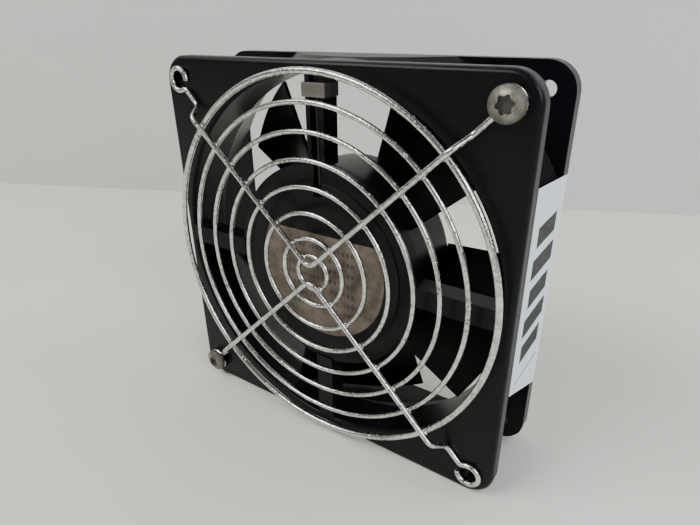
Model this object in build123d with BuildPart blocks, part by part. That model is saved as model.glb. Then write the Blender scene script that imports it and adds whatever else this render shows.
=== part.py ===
from build123d import *
import os
from math import cos, hypot, radians, sin, sqrt

os.makedirs("parts", exist_ok=True)

# A square axial fan, 119 x 119 x 32 mm, with a wire finger guard on its front.
# The fan axis is Y. Z is up. The rear mounting face lies in the plane y = 0 and the front
# faces -Y. "h" is always the distance in front of the rear face, so a point is (x, -h, z).

# ---------------------------------------------------------------- driving dimensions (mm)

# housing: two square flanges on a round duct
SIZE = 119.0
DEPTH = 32.0
FLANGE_T = 4.5
CORNER_R = 8.0
EDGE_R = 1.5
HOLE_INSET = 7.0
HOLE_R = 2.15
BORE_INSET = 3.0
DUCT_WALL = 2.8
LIP_R = 1.0
POCKET_FLARE = 8.5
POCKET_DEPTH = 18.0

# motor base and the four struts that carry it
BASE_T = 3.1
BASE_STEP = 0.5
BASE_RECESS = 0.2
STEP_R = 27.3
STEP_EDGE_R = 0.4
BASE_RIM = 0.8
STRUT_W = 6.0
STRUT_T = 6.2
LEDGE_R = 10.5
LEDGE_T = 1.4
TUBE_COVER = 1.3

# leads, their channel in the upper strut and the clip over it
LEAD_R = 0.65
LEAD_GAP = 0.06
LEAD_LIFT = 0.03
CHANNEL_W = 3.0
CHANNEL_D = 2.9
CHANNEL_START = 22.9
RISE_START = 23.8
RISE_END = 26.4
SLOT_END = 27.4
LEAD_BEND_R = 1.5
LEAD_START = 17.0
OUTLET_R = 0.75
CLIP_WALL = 0.9
CLIP_FRONT = 0.5
CLIP_DEPTH = 6.4
CLIP_H = 3.8
CLIP_INSET = 4.3
CLIP_FIT = 0.03
CLIP_EDGE_R = 0.3
TONGUE_GAP = 0.05

# impeller
HUB_R = 31.5
HUB_DRAFT = 1.0
HUB_EDGE_R = 4.0
HUB_STRAIGHT = 4.2
HUB_WALL = 1.8
HUB_REAR = 4.0
ROTOR_GAP = 1.2
BLADES = 5
TIP_GAP = 1.2
BLADE_FRONT_GAP = 1.0
BLADE_REAR_INSET = 0.6
BLADE_MID_ANGLE = 129.0
BLADE_TIP_HALF_ANGLE = 21.5
BLADE_ROOT_HALF_ANGLE = 26.5
BLADE_CAMBER = 0.07
BLADE_T = 2.0
BLADE_EDGE_T = 1.0
SECTION_PAST = 2.2
ROOT_DEPTH = 6.5

# rotor
CUP_SEAT = 2.6
CUP_T = 1.2
CUP_LIP = 0.4
CUP_CORNER_R = 2.4
MAGNET_T = 2.8
MAGNET_LIFT = 1.5
MAGNET_SET = 2.0
SHAFT_R = 2.0
SHAFT_INSET = 0.9
SHAFT_CHAMFER = 0.3
BUSH_FLANGE_R = 5.5
BUSH_FLANGE_T = 1.2
BUSH_NECK_R = 3.2
BUSH_COLLAR_R = 4.0
BUSH_COLLAR_T = 1.0
CLIP_RING_T = 0.6
CLIP_RING_R = 3.3
CLIP_GROOVE_R = 1.6
CLIP_RING_SLOT = 2.2
SPRING_H = 0.8
SPRING_T = 0.25
SPRING_GAP = 0.1

# bearings, 4 x 11 x 4 mm, and the tube that holds them
BEARING_R = 5.5
BEARING_W = 4.0
BALL_SUNK = 0.2
BALLS = 7
RACE_GAP = 0.03
RACE_WALL = 1.1
SHIELD_STEP = 0.2
SHIELD_T = 0.2
SHIELD_INSET = 0.05
SHIELD_GAP = 0.15
CAGE_IN = 0.35
CAGE_BACK = 0.4
CAGE_FRONT = 1.45
POCKET_GAP = 0.05
BEARING_INSET = 2.5
TUBE_WALL = 1.5
TUBE_SHOULDER = 0.7
TUBE_PROUD = 0.4

# stator
AIR_GAP = 0.4
CORE_TO_CUP = 5.0
CORE_TO_BOARD = 3.6
CORE_HUB_T = 3.5
ARM_W = 7.0
SHOE_T = 2.2
SHOE_ANGLE = 76.0
POLES = 4
CAP_T = 1.0
CAP_MARGIN = 0.1
CAP_WALL_T = 1.0
CAP_WALL_H = 2.4
CAP_WALL_W = 14.0
COIL_FIT = 0.1
COIL_T = 2.2
COIL_CORNER_R = 2.0
COIL_GAP = 0.3

# circuit board; its pieces are set out as (width, height), thickness and (x, z) places
BOARD_T = 1.2
BOARD_GAP = 0.9
BOARD_HOLE_GAP = 0.4
CHIP = ((5.0, 4.0), 1.1, [(-16.0, 0.0)])
SENSOR = ((3.0, 1.6), 1.1, [(0.0, -23.0)])
CAPACITORS = ((3.2, 1.8), 1.1, [(14.0, -6.0), (14.0, 6.0)])
RESISTORS = ((2.0, 1.2), 0.6, [(-12.0, -12.0), (-6.0, -17.0), (6.0, -17.0), (17.0, 12.0)])
TRANSISTORS = ((3.0, 2.6), 1.1, [(-14.0, 13.0), (-19.0, 8.0)])

# wire guard; it sits a little to the right of the fan axis and above it
GUARD_X = 0.7
GUARD_Z = 1.0
RING_WIRE = 1.5
OUTER_RING_WIRE = 1.9
SUPPORT_WIRE = 1.6
RING_RISE = 4.5
OUTER_RING_INSET = 0.1
INNER_RING_R = 10.8
SPACED_RINGS = 7
CENTRE_RING_R = 5.4
APEX_Z = 2.0
APEX_BEND_R = 3.0
FOOT_L = 5.6
FOOT_RUN = 4.0
FOOT_BEND_R = 3.0
LOOP_R = 3.3
NECK_R = 1.6
LOOP_SWEEP = 300.0

# guard screws
THREAD_R = 2.4
HEAD_R = 4.15
HEAD_RIM = 0.9
HEAD_DOME = 1.9
SCREW_L = 12.0
SCREW_TIP = 2.0
SCREW_TIP_R = 0.8
LOBES = 6
LOBE_R = 0.5
LOBE_PITCH_R = 1.75
RECESS_R = 1.65
RECESS_DEPTH = 1.8

# labels
LABEL_R = 22.5
LABEL_CUT_Z = 11.4
PAPER_T = 0.15
STICKER_EDGE = 0.3
STICKER_FRONT_Z = (-24.5, 33.8)
STICKER_REAR_Z = (-36.5, 31.0)

# ---------------------------------------------------------------- sizes that follow

# across the axis
FRONT_FLANGE = DEPTH - FLANGE_T
HOLE_SPACING = SIZE - 2 * HOLE_INSET
HOLE_AT = HOLE_SPACING / 2
BORE_R = SIZE / 2 - BORE_INSET
DUCT_R = BORE_R + DUCT_WALL
POCKET_R = BORE_R + POCKET_FLARE
TIP_R = BORE_R - TIP_GAP
HUB_REAR_R = HUB_R - HUB_DRAFT
BASE_R = HUB_R + BASE_RIM
STRUT_ROOT = BASE_R - BASE_RIM / 2
CUP_R = HUB_R - CUP_SEAT
MAGNET_R = CUP_R - CUP_T
CORE_R = MAGNET_R - MAGNET_T - AIR_GAP
BOARD_R = MAGNET_R - BOARD_GAP
TUBE_R = BEARING_R + TUBE_WALL
CORE_HUB_R = TUBE_R + CORE_HUB_T
PITCH_R = (SHAFT_R + BEARING_R) / 2
INNER_RACE_R = SHAFT_R + RACE_WALL
OUTER_RACE_R = BEARING_R - RACE_WALL
BALL_R = (OUTER_RACE_R - INNER_RACE_R) / 2 + BALL_SUNK
LEAD_X = LEAD_R + LEAD_GAP
CLIP_Z = BORE_R - CLIP_INSET

# along the axis, from the front backwards
STEP_FRONT = DEPTH - BASE_RECESS
BASE_FRONT = STEP_FRONT - BASE_STEP
BASE_BACK = BASE_FRONT - BASE_T
STRUT_BACK = STEP_FRONT - STRUT_T
BOARD_FRONT = BASE_BACK - LEDGE_T
BOARD_BACK = BOARD_FRONT - BOARD_T
TUBE_FRONT = STEP_FRONT - TUBE_COVER
FRONT_BEARING = TUBE_FRONT - BEARING_INSET - BEARING_W
SHAFT_FRONT = TUBE_FRONT - SHAFT_INSET
CHANNEL_FLOOR = STEP_FRONT - CHANNEL_D
LEAD_LOW = BOARD_FRONT + LEAD_R + LEAD_LIFT
LEAD_HIGH = CHANNEL_FLOOR + LEAD_R + LEAD_LIFT
HUB_FRONT = BASE_BACK - ROTOR_GAP
BLADE_FRONT = STRUT_BACK - BLADE_FRONT_GAP
MAGNET_FRONT = HUB_FRONT - MAGNET_SET
CORE_FRONT = BOARD_BACK - CORE_TO_BOARD

# along the axis, from the rear of the hub forwards
BLADE_REAR = HUB_REAR + BLADE_REAR_INSET
CUP_REAR = HUB_REAR + HUB_WALL
CUP_FLOOR = CUP_REAR + CUP_T
MAGNET_REAR = CUP_FLOOR + MAGNET_LIFT
CORE_REAR = CUP_FLOOR + CORE_TO_CUP
BUSH_FRONT = CUP_FLOOR + BUSH_FLANGE_T + BUSH_COLLAR_T
REAR_BEARING = BUSH_FRONT + SPRING_H
TUBE_REAR = REAR_BEARING - TUBE_PROUD

# the guard in front of the housing
RING_H = DEPTH + RING_RISE
SUPPORT_H = RING_H + RING_WIRE / 2 + SUPPORT_WIRE / 2
OUTER_RING_H = SUPPORT_H - SUPPORT_WIRE / 2 - OUTER_RING_WIRE / 2
OUTER_RING_R = BORE_R - OUTER_RING_INSET
RING_PITCH = (OUTER_RING_R - INNER_RING_R) / (SPACED_RINGS - 1)
FOOT_H = DEPTH + SUPPORT_WIRE / 2
HEAD_SEAT = DEPTH + SUPPORT_WIRE
HEAD_TOP = HEAD_SEAT + HEAD_RIM + HEAD_DOME
EYELET_U = HOLE_SPACING * sqrt(0.5)
NECK_U = EYELET_U - sqrt(LOOP_R**2 + 2 * LOOP_R * NECK_R)
FOOT_START = NECK_U - FOOT_L
ARM_END = FOOT_START - FOOT_RUN

# a sketch on AXIAL is written as (radius, h) and revolved about the fan axis
AXIAL = Plane(origin=(0, 0, 0), x_dir=(1, 0, 0), z_dir=(0, 0, -1))


def front(h):
    """The plane parallel to the faces at h; its sketches are (x, z) and extrude forwards."""
    return Plane.XZ.offset(h)


def radial(radius, angle):
    """The plane square to a spoke; its sketches are (along the turn, h)."""
    c = cos(radians(angle))
    s = sin(radians(angle))
    return Plane(origin=(radius * c, 0, radius * s), x_dir=(-s, 0, c), z_dir=(c, 0, s))


def save(built, name):
    built.part.label = name
    export_step(built.part, f"parts/{name}.step")


def turned(points):
    """A piece turned about the fan axis from (radius, h) corners."""
    with BuildPart() as piece:
        with BuildSketch(AXIAL):
            with BuildLine():
                Polyline(*points, close=True)
            make_face()
        revolve(axis=Axis.Y)
    return piece


def washer(inner, outer, rear, fore):
    """A plain ring between two radii and two heights."""
    with BuildPart() as piece:
        with BuildSketch(front(rear)):
            Circle(outer)
            Circle(inner, mode=Mode.SUBTRACT)
        extrude(amount=fore - rear)
    return piece


# ---------------------------------------------------------------- housing


def corner_flare(wall):
    """The rear corner pockets: a cone kept inside the square of the flanges."""
    side = SIZE - 2 * (DUCT_WALL - wall)
    with BuildPart() as flare:
        with BuildSketch(front(0)):
            Circle(POCKET_R + wall)
        with BuildSketch(front(POCKET_DEPTH)):
            Circle(BORE_R + wall)
        loft()
        with BuildSketch(front(0)):
            RectangleRounded(side, side, CORNER_R)
        extrude(amount=POCKET_DEPTH, mode=Mode.INTERSECT)
    return flare.part


def make_housing():
    skin = corner_flare(DUCT_WALL)
    pockets = corner_flare(0)
    with BuildPart() as housing:
        with BuildSketch(front(0)):
            RectangleRounded(SIZE, SIZE, CORNER_R)
        extrude(amount=FLANGE_T)
        with BuildSketch(front(FRONT_FLANGE)):
            RectangleRounded(SIZE, SIZE, CORNER_R)
        extrude(amount=FLANGE_T)
        fillet(housing.faces().sort_by(Axis.Y)[0].outer_wire().edges(), EDGE_R)
        with BuildSketch(front(0)):
            Circle(DUCT_R)
        extrude(amount=DEPTH - EDGE_R)
        add(skin)
        with BuildSketch(front(0)):
            Circle(BORE_R)
        extrude(amount=DEPTH, mode=Mode.SUBTRACT)
        lip = housing.edges(Select.LAST).filter_by(GeomType.CIRCLE).sort_by(Axis.Y)[0]
        fillet(lip, LIP_R)
        add(pockets, mode=Mode.SUBTRACT)

        # bolt holes right through; the two that hold the guard screws are cut by their threads
        with BuildSketch(front(0)):
            with GridLocations(HOLE_SPACING, HOLE_SPACING, 2, 2):
                Circle(HOLE_R)
        extrude(amount=DEPTH, mode=Mode.SUBTRACT)
        with BuildSketch(front(FRONT_FLANGE)):
            with Locations((HOLE_AT, HOLE_AT), (-HOLE_AT, -HOLE_AT)):
                Circle(THREAD_R)
        extrude(amount=FLANGE_T, mode=Mode.SUBTRACT)

        # motor base: a flat disc with a raised centre, on four struts
        with BuildSketch(front(BASE_BACK)):
            Circle(BASE_R)
        extrude(amount=BASE_T)
        with BuildSketch(front(BASE_FRONT)):
            Circle(STEP_R)
        extrude(amount=BASE_STEP)
        step_edge = housing.edges(Select.LAST).filter_by(GeomType.CIRCLE).sort_by(Axis.Y)[0]
        fillet(step_edge, STEP_EDGE_R)
        with BuildSketch(front(BOARD_FRONT)):
            Circle(LEDGE_R)
        extrude(amount=LEDGE_T)
        strut_l = BORE_R + DUCT_WALL / 2 - STRUT_ROOT
        with BuildSketch(front(STRUT_BACK)):
            with PolarLocations(STRUT_ROOT + strut_l / 2, 4):
                Rectangle(strut_l, STRUT_W)
        extrude(amount=STRUT_T)
        with BuildSketch(front(BOARD_FRONT)):
            Circle(TUBE_R)
        extrude(amount=TUBE_FRONT - BOARD_FRONT, mode=Mode.SUBTRACT)

        # lead channel along the upper strut, its slot through the base and its two outlets
        with BuildSketch(front(CHANNEL_FLOOR)):
            with Locations((0, (CHANNEL_START + BORE_R) / 2)):
                Rectangle(CHANNEL_W, BORE_R - CHANNEL_START)
        extrude(amount=CHANNEL_D, mode=Mode.SUBTRACT)
        with BuildSketch(front(BASE_BACK)):
            with Locations((0, (CHANNEL_START + SLOT_END) / 2)):
                Rectangle(CHANNEL_W, SLOT_END - CHANNEL_START)
        extrude(amount=BASE_T, mode=Mode.SUBTRACT)
        with BuildSketch(Plane.XY.offset(BORE_R - DUCT_WALL)):
            with Locations((-LEAD_X, -LEAD_HIGH), (LEAD_X, -LEAD_HIGH)):
                Circle(OUTLET_R)
        extrude(amount=SIZE / 2 - BORE_R + DUCT_WALL, mode=Mode.SUBTRACT)
    save(housing, "housing")


# ---------------------------------------------------------------- leads and clip


def make_lead(name, x):
    """One insulated lead: off the board, up through the base and along the channel."""
    with BuildPart() as lead:
        with BuildLine() as route:
            FilletPolyline(
                (x, -LEAD_LOW, LEAD_START),
                (x, -LEAD_LOW, RISE_START),
                (x, -LEAD_HIGH, RISE_END),
                (x, -LEAD_HIGH, SIZE / 2),
                radius=LEAD_BEND_R,
            )
        with BuildSketch(Plane.XY.offset(LEAD_START)):
            with Locations((x, -LEAD_LOW)):
                Circle(LEAD_R)
        sweep(path=route.line)
    save(lead, name)


def make_clip():
    """The snap cap over the channel: a front wall, two cheeks and a tongue on the leads."""
    inner = STRUT_W + 2 * CLIP_FIT
    outer = inner + 2 * CLIP_WALL
    top = STEP_FRONT + CLIP_FRONT
    tongue_rear = LEAD_HIGH + LEAD_R + TONGUE_GAP
    with BuildPart() as clip:
        with BuildSketch(front(top - CLIP_DEPTH)):
            with Locations((0, CLIP_Z)):
                Rectangle(outer, CLIP_H)
        extrude(amount=CLIP_DEPTH)
        fillet(clip.edges().filter_by(Axis.Y), CLIP_EDGE_R)
        with BuildSketch(front(top - CLIP_DEPTH)):
            with Locations((0, CLIP_Z)):
                Rectangle(inner, CLIP_H)
        extrude(amount=CLIP_DEPTH - CLIP_FRONT, mode=Mode.SUBTRACT)
        with BuildSketch(front(tongue_rear)):
            with Locations((0, CLIP_Z)):
                Rectangle(CHANNEL_W - 2 * TONGUE_GAP, CLIP_H - 2 * CLIP_WALL)
        extrude(amount=STEP_FRONT - tongue_rear)
    save(clip, "lead_clip")


# ---------------------------------------------------------------- impeller


def blade_section(radius, half_angle):
    """A thin cambered section, hollow towards the front, square to the blade's spoke."""
    reach = radius * sin(radians(half_angle)) / cos(radians(half_angle))
    drop = BLADE_FRONT - BLADE_REAR
    chord = hypot(2 * reach, drop)
    middle = (BLADE_FRONT + BLADE_REAR) / 2
    sag = BLADE_CAMBER * chord

    def at(t, h, out):
        return (t - drop / chord * out, h - 2 * reach / chord * out)

    half = BLADE_T / 2
    edge = BLADE_EDGE_T / 2
    with BuildSketch(radial(radius, BLADE_MID_ANGLE)) as section:
        with BuildLine():
            back = ThreePointArc(
                at(-reach, BLADE_FRONT, edge), at(0, middle, sag + half), at(reach, BLADE_REAR, edge)
            )
            hollow = ThreePointArc(
                at(reach, BLADE_REAR, -edge), at(0, middle, sag - half), at(-reach, BLADE_FRONT, -edge)
            )
            Line(back @ 1, hollow @ 0)
            Line(hollow @ 1, back @ 0)
        make_face()
    return section.sketch.face()


def make_impeller():
    root = blade_section(HUB_R - ROOT_DEPTH, BLADE_ROOT_HALF_ANGLE)
    tip = blade_section(TIP_R + SECTION_PAST, BLADE_TIP_HALF_ANGLE)
    with BuildPart() as blade:
        loft([root, tip])
        with BuildSketch(front(0)):
            Circle(TIP_R)
            Circle((CUP_R + HUB_REAR_R) / 2, mode=Mode.SUBTRACT)
        extrude(amount=DEPTH, mode=Mode.INTERSECT)
    with BuildPart() as impeller:
        with BuildSketch(AXIAL):
            with BuildLine():
                Polyline(
                    (0, HUB_REAR),
                    (HUB_REAR_R, HUB_REAR),
                    (HUB_REAR_R, HUB_REAR + HUB_STRAIGHT),
                    (HUB_R, HUB_FRONT),
                    (0, HUB_FRONT),
                    close=True,
                )
            make_face()
        revolve(axis=Axis.Y)
        fillet(impeller.edges().filter_by(GeomType.CIRCLE).sort_by(Axis.Y)[-1], HUB_EDGE_R)
        for k in range(BLADES):
            add(blade.part.rotate(Axis.Y, k * 360 / BLADES))
        with BuildSketch(front(CUP_REAR)):
            Circle(CUP_R)
        extrude(amount=DEPTH - CUP_REAR, mode=Mode.SUBTRACT)
        seat = impeller.edges(Select.LAST).filter_by(GeomType.CIRCLE).sort_by(Axis.Y)[-1]
        fillet(seat, CUP_CORNER_R)
    save(impeller, "impeller")


# ---------------------------------------------------------------- rotor


def make_rotor():
    with BuildPart() as cup:
        with BuildSketch(front(CUP_REAR)):
            Circle(CUP_R)
        extrude(amount=HUB_FRONT - CUP_LIP - CUP_REAR)
        fillet(cup.edges().filter_by(GeomType.CIRCLE).sort_by(Axis.Y)[-1], CUP_CORNER_R)
        with BuildSketch(front(CUP_FLOOR)):
            Circle(MAGNET_R)
        extrude(amount=HUB_FRONT, mode=Mode.SUBTRACT)
        inside = cup.edges(Select.LAST).filter_by(GeomType.CIRCLE).sort_by(Axis.Y)[-1]
        fillet(inside, CUP_CORNER_R - CUP_T)
        with BuildSketch(front(0)):
            Circle(BUSH_NECK_R)
        extrude(amount=DEPTH, mode=Mode.SUBTRACT)
    save(cup, "rotor_cup")

    save(washer(MAGNET_R - MAGNET_T, MAGNET_R, MAGNET_REAR, MAGNET_FRONT), "magnet_ring")

    flange_front = CUP_FLOOR + BUSH_FLANGE_T
    bush = turned(
        [
            (SHAFT_R, CUP_REAR),
            (BUSH_NECK_R, CUP_REAR),
            (BUSH_NECK_R, CUP_FLOOR),
            (BUSH_FLANGE_R, CUP_FLOOR),
            (BUSH_FLANGE_R, flange_front),
            (BUSH_COLLAR_R, flange_front),
            (BUSH_COLLAR_R, BUSH_FRONT),
            (SHAFT_R, BUSH_FRONT),
        ]
    )
    save(bush, "rotor_bushing")

    groove = FRONT_BEARING + BEARING_W
    shaft = turned(
        [
            (0, CUP_REAR),
            (SHAFT_R, CUP_REAR),
            (SHAFT_R, groove),
            (CLIP_GROOVE_R, groove),
            (CLIP_GROOVE_R, groove + CLIP_RING_T),
            (SHAFT_R, groove + CLIP_RING_T),
            (SHAFT_R, SHAFT_FRONT - SHAFT_CHAMFER),
            (SHAFT_R - SHAFT_CHAMFER, SHAFT_FRONT),
            (0, SHAFT_FRONT),
        ]
    )
    save(shaft, "shaft")

    with BuildPart() as retainer:
        with BuildSketch(front(groove)):
            Circle(CLIP_RING_R)
            Circle(CLIP_GROOVE_R, mode=Mode.SUBTRACT)
            with Locations((0, -CLIP_RING_R)):
                Rectangle(CLIP_RING_SLOT, 2 * CLIP_RING_R, mode=Mode.SUBTRACT)
        extrude(amount=CLIP_RING_T)
    save(retainer, "shaft_retaining_ring")

    spring = turned(
        [
            (SHAFT_R + SPRING_GAP, REAR_BEARING - SPRING_T),
            (SHAFT_R + SPRING_GAP, REAR_BEARING),
            (INNER_RACE_R - SPRING_GAP, BUSH_FRONT + SPRING_T),
            (INNER_RACE_R - SPRING_GAP, BUSH_FRONT),
        ]
    )
    save(spring, "preload_spring_washer")


# ---------------------------------------------------------------- bearings


def make_bearing(place, rear):
    """A shielded ball bearing; place names it and rear is the h of its rear face."""
    fore = rear + BEARING_W
    middle = rear + BEARING_W / 2

    with BuildPart() as groove:
        with BuildSketch(AXIAL):
            with Locations((PITCH_R, middle)):
                Circle(BALL_R + RACE_GAP)
        revolve(axis=Axis.Y)

    with BuildPart() as inner:
        with BuildSketch(front(rear)):
            Circle(INNER_RACE_R)
            Circle(SHAFT_R, mode=Mode.SUBTRACT)
        extrude(amount=BEARING_W)
        add(groove.part, mode=Mode.SUBTRACT)
    save(inner, f"{place}_bearing_inner_ring")

    seat = SHIELD_INSET + SHIELD_T
    with BuildPart() as outer:
        with BuildSketch(front(rear)):
            Circle(BEARING_R)
            Circle(OUTER_RACE_R, mode=Mode.SUBTRACT)
        extrude(amount=BEARING_W)
        add(groove.part, mode=Mode.SUBTRACT)
        for start in (rear, fore - seat):
            with BuildSketch(front(start)):
                Circle(OUTER_RACE_R + SHIELD_STEP)
            extrude(amount=seat, mode=Mode.SUBTRACT)
    save(outer, f"{place}_bearing_outer_ring")

    with BuildPart() as shields:
        for start in (rear + SHIELD_INSET, fore - seat):
            with BuildSketch(front(start)):
                Circle(OUTER_RACE_R + SHIELD_STEP)
                Circle(INNER_RACE_R + SHIELD_GAP, mode=Mode.SUBTRACT)
            extrude(amount=SHIELD_T)
    save(shields, f"{place}_bearing_shields")

    with BuildPart() as balls:
        with Locations(front(middle)):
            with PolarLocations(PITCH_R, BALLS):
                Sphere(BALL_R)
    save(balls, f"{place}_bearing_balls")

    with BuildPart() as cage:
        with BuildSketch(front(middle - CAGE_BACK)):
            Circle(PITCH_R + CAGE_IN)
            Circle(PITCH_R - CAGE_IN, mode=Mode.SUBTRACT)
        extrude(amount=CAGE_BACK + CAGE_FRONT)
        with Locations(front(middle)):
            with PolarLocations(PITCH_R, BALLS):
                Sphere(BALL_R + POCKET_GAP, mode=Mode.SUBTRACT)
    save(cage, f"{place}_bearing_cage")


def make_bearing_tube():
    tube = turned(
        [
            (BEARING_R, TUBE_REAR),
            (TUBE_R, TUBE_REAR),
            (TUBE_R, TUBE_FRONT),
            (BEARING_R, TUBE_FRONT),
            (BEARING_R, FRONT_BEARING),
            (BEARING_R - TUBE_SHOULDER, FRONT_BEARING),
            (BEARING_R - TUBE_SHOULDER, REAR_BEARING + BEARING_W),
            (BEARING_R, REAR_BEARING + BEARING_W),
        ]
    )
    save(tube, "bearing_tube")


# ---------------------------------------------------------------- stator


def pole_angle(k):
    return 45 + k * 360 / POLES


def pole_outline(arm_w, shoe_inner, shoe_outer):
    """Hub, arms and pole shoes seen along the axis, as a flat sketch."""
    with BuildSketch() as outline:
        Circle(CORE_HUB_R)
        for k in range(POLES):
            start = pole_angle(k) - SHOE_ANGLE / 2
            arm_l = (shoe_inner + shoe_outer) / 2
            with Locations(Rotation(0, 0, pole_angle(k)) * Pos(arm_l / 2, 0)):
                Rectangle(arm_l, arm_w)
            with BuildLine():
                outer = CenterArc((0, 0), shoe_outer, start, SHOE_ANGLE)
                inner = CenterArc((0, 0), shoe_inner, start, SHOE_ANGLE)
                Line(outer @ 0, inner @ 0)
                Line(outer @ 1, inner @ 1)
            make_face()
        Circle(TUBE_R, mode=Mode.SUBTRACT)
    return outline.sketch


def make_insulator(name, core_face, side):
    """An end cap on the core; side is +1 in front and -1 behind."""
    outline = pole_outline(ARM_W + 2 * CAP_MARGIN, CORE_R - SHOE_T, CORE_R - CAP_MARGIN)
    plate_start = core_face if side > 0 else core_face - CAP_T
    wall_start = core_face + CAP_T if side > 0 else core_face - CAP_T - CAP_WALL_H
    wall_at = CORE_R - SHOE_T - CAP_WALL_T / 2
    with BuildPart() as cap:
        with BuildSketch(front(plate_start)):
            add(outline)
        extrude(amount=CAP_T)
        with BuildSketch(front(wall_start)):
            for k in range(POLES):
                with Locations(Rotation(0, 0, pole_angle(k)) * Pos(wall_at, 0)):
                    Rectangle(CAP_WALL_T, CAP_WALL_W)
        extrude(amount=CAP_WALL_H)
        if side > 0:
            post_h = BOARD_BACK - wall_start
            with BuildSketch(front(wall_start)):
                with PolarLocations(wall_at, POLES, start_angle=pole_angle(0)):
                    Circle(CAP_WALL_T / 2)
            extrude(amount=post_h)
    save(cap, name)


def make_stator():
    lamination = pole_outline(ARM_W, CORE_R - SHOE_T, CORE_R)
    with BuildPart() as core:
        with BuildSketch(front(CORE_REAR)):
            add(lamination)
        extrude(amount=CORE_FRONT - CORE_REAR)
    save(core, "stator_core")

    make_insulator("front_insulator", CORE_FRONT, 1)
    make_insulator("rear_insulator", CORE_REAR, -1)

    coil_inner = CORE_HUB_R + COIL_GAP
    coil_outer = CORE_R - SHOE_T - CAP_WALL_T - COIL_GAP
    window_w = ARM_W + 2 * CAP_MARGIN + 2 * COIL_FIT
    window_h = CORE_FRONT - CORE_REAR + 2 * CAP_T + 2 * COIL_FIT
    middle = (CORE_FRONT + CORE_REAR) / 2
    with BuildPart() as coils:
        for k in range(POLES):
            with BuildSketch(radial(coil_inner, pole_angle(k))):
                with Locations((0, middle)):
                    RectangleRounded(window_w + 2 * COIL_T, window_h + 2 * COIL_T, COIL_CORNER_R)
                    Rectangle(window_w, window_h, mode=Mode.SUBTRACT)
            extrude(amount=coil_outer - coil_inner)
    save(coils, "stator_coils")


def make_electronics():
    save(washer(TUBE_R + BOARD_HOLE_GAP, BOARD_R, BOARD_BACK, BOARD_FRONT), "circuit_board")

    on_board = {
        "driver_chip": CHIP,
        "hall_sensor": SENSOR,
        "board_capacitors": CAPACITORS,
        "board_resistors": RESISTORS,
        "power_transistors": TRANSISTORS,
    }
    for name, (size, height, places) in on_board.items():
        with BuildPart() as pieces:
            with BuildSketch(front(BOARD_FRONT)):
                with Locations(*places):
                    Rectangle(*size)
            extrude(amount=height)
        save(pieces, name)


# ---------------------------------------------------------------- wire guard


def make_guard_rings():
    """Eight rings about the guard's own centre; the outermost is of thicker wire."""
    radii = [OUTER_RING_R - k * RING_PITCH for k in range(SPACED_RINGS)] + [CENTRE_RING_R]
    for number, radius in enumerate(radii, start=1):
        outermost = number == 1
        wire = OUTER_RING_WIRE if outermost else RING_WIRE
        height = OUTER_RING_H if outermost else RING_H
        with BuildPart() as ring:
            with BuildSketch(AXIAL.offset(-GUARD_Z)):
                with Locations((GUARD_X + radius, height)):
                    Circle(wire / 2)
            revolve(axis=Axis((GUARD_X, 0, GUARD_Z), (0, 1, 0)))
        save(ring, f"guard_ring_{number}")


def diagonal_point(u, v, h, x_sign, z_sign):
    """A point u along a corner diagonal and v beside it, at h."""
    c = sqrt(0.5)
    return (x_sign * (u + v) * c, -h, z_sign * (u - v) * c)


def eyelet_points(x_sign, z_sign):
    """The arcs of an open eyelet: neck start, neck middle, loop start, loop middle, loop end."""
    lean = sqrt(1 - (NECK_R / (LOOP_R + NECK_R)) ** 2)
    first = 180.0 + Vector(lean, NECK_R / (LOOP_R + NECK_R)).get_angle(Vector(1, 0))

    def on_loop(angle):
        a = radians(angle)
        return EYELET_U + LOOP_R * cos(a), LOOP_R * sin(a)

    def on_neck(angle):
        a = radians(angle)
        return NECK_U + NECK_R * cos(a), -NECK_R + NECK_R * sin(a)

    places = [
        (NECK_U, 0.0),
        on_neck((90 + first - 180) / 2),
        on_loop(first),
        on_loop(first + LOOP_SWEEP / 2),
        on_loop(first + LOOP_SWEEP),
    ]
    return [diagonal_point(u, -v, FOOT_H, x_sign, z_sign) for u, v in places]


def make_support_wire(name, z_sign):
    """One wire: an eyelet, a foot, a straight arm, the bend at the centre, and back again."""
    left = eyelet_points(-1, z_sign)
    right = eyelet_points(1, z_sign)
    apex = (GUARD_X, -SUPPORT_H, GUARD_Z + z_sign * APEX_Z)
    with BuildPart() as wire:
        with BuildLine() as route:
            ThreePointArc(left[4], left[3], left[2])
            ThreePointArc(left[2], left[1], left[0])
            FilletPolyline(
                left[0],
                diagonal_point(FOOT_START, 0, FOOT_H, -1, z_sign),
                diagonal_point(ARM_END, 0, SUPPORT_H, -1, z_sign),
                apex,
                diagonal_point(ARM_END, 0, SUPPORT_H, 1, z_sign),
                diagonal_point(FOOT_START, 0, FOOT_H, 1, z_sign),
                right[0],
                radius=[FOOT_BEND_R, FOOT_BEND_R, APEX_BEND_R, FOOT_BEND_R, FOOT_BEND_R],
            )
            ThreePointArc(right[0], right[1], right[2])
            ThreePointArc(right[2], right[3], right[4])
        with BuildSketch(Plane(origin=route.wires()[0] @ 0, z_dir=route.wires()[0] % 0)):
            Circle(SUPPORT_WIRE / 2)
        sweep(path=route.wires()[0])
    save(wire, name)


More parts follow.
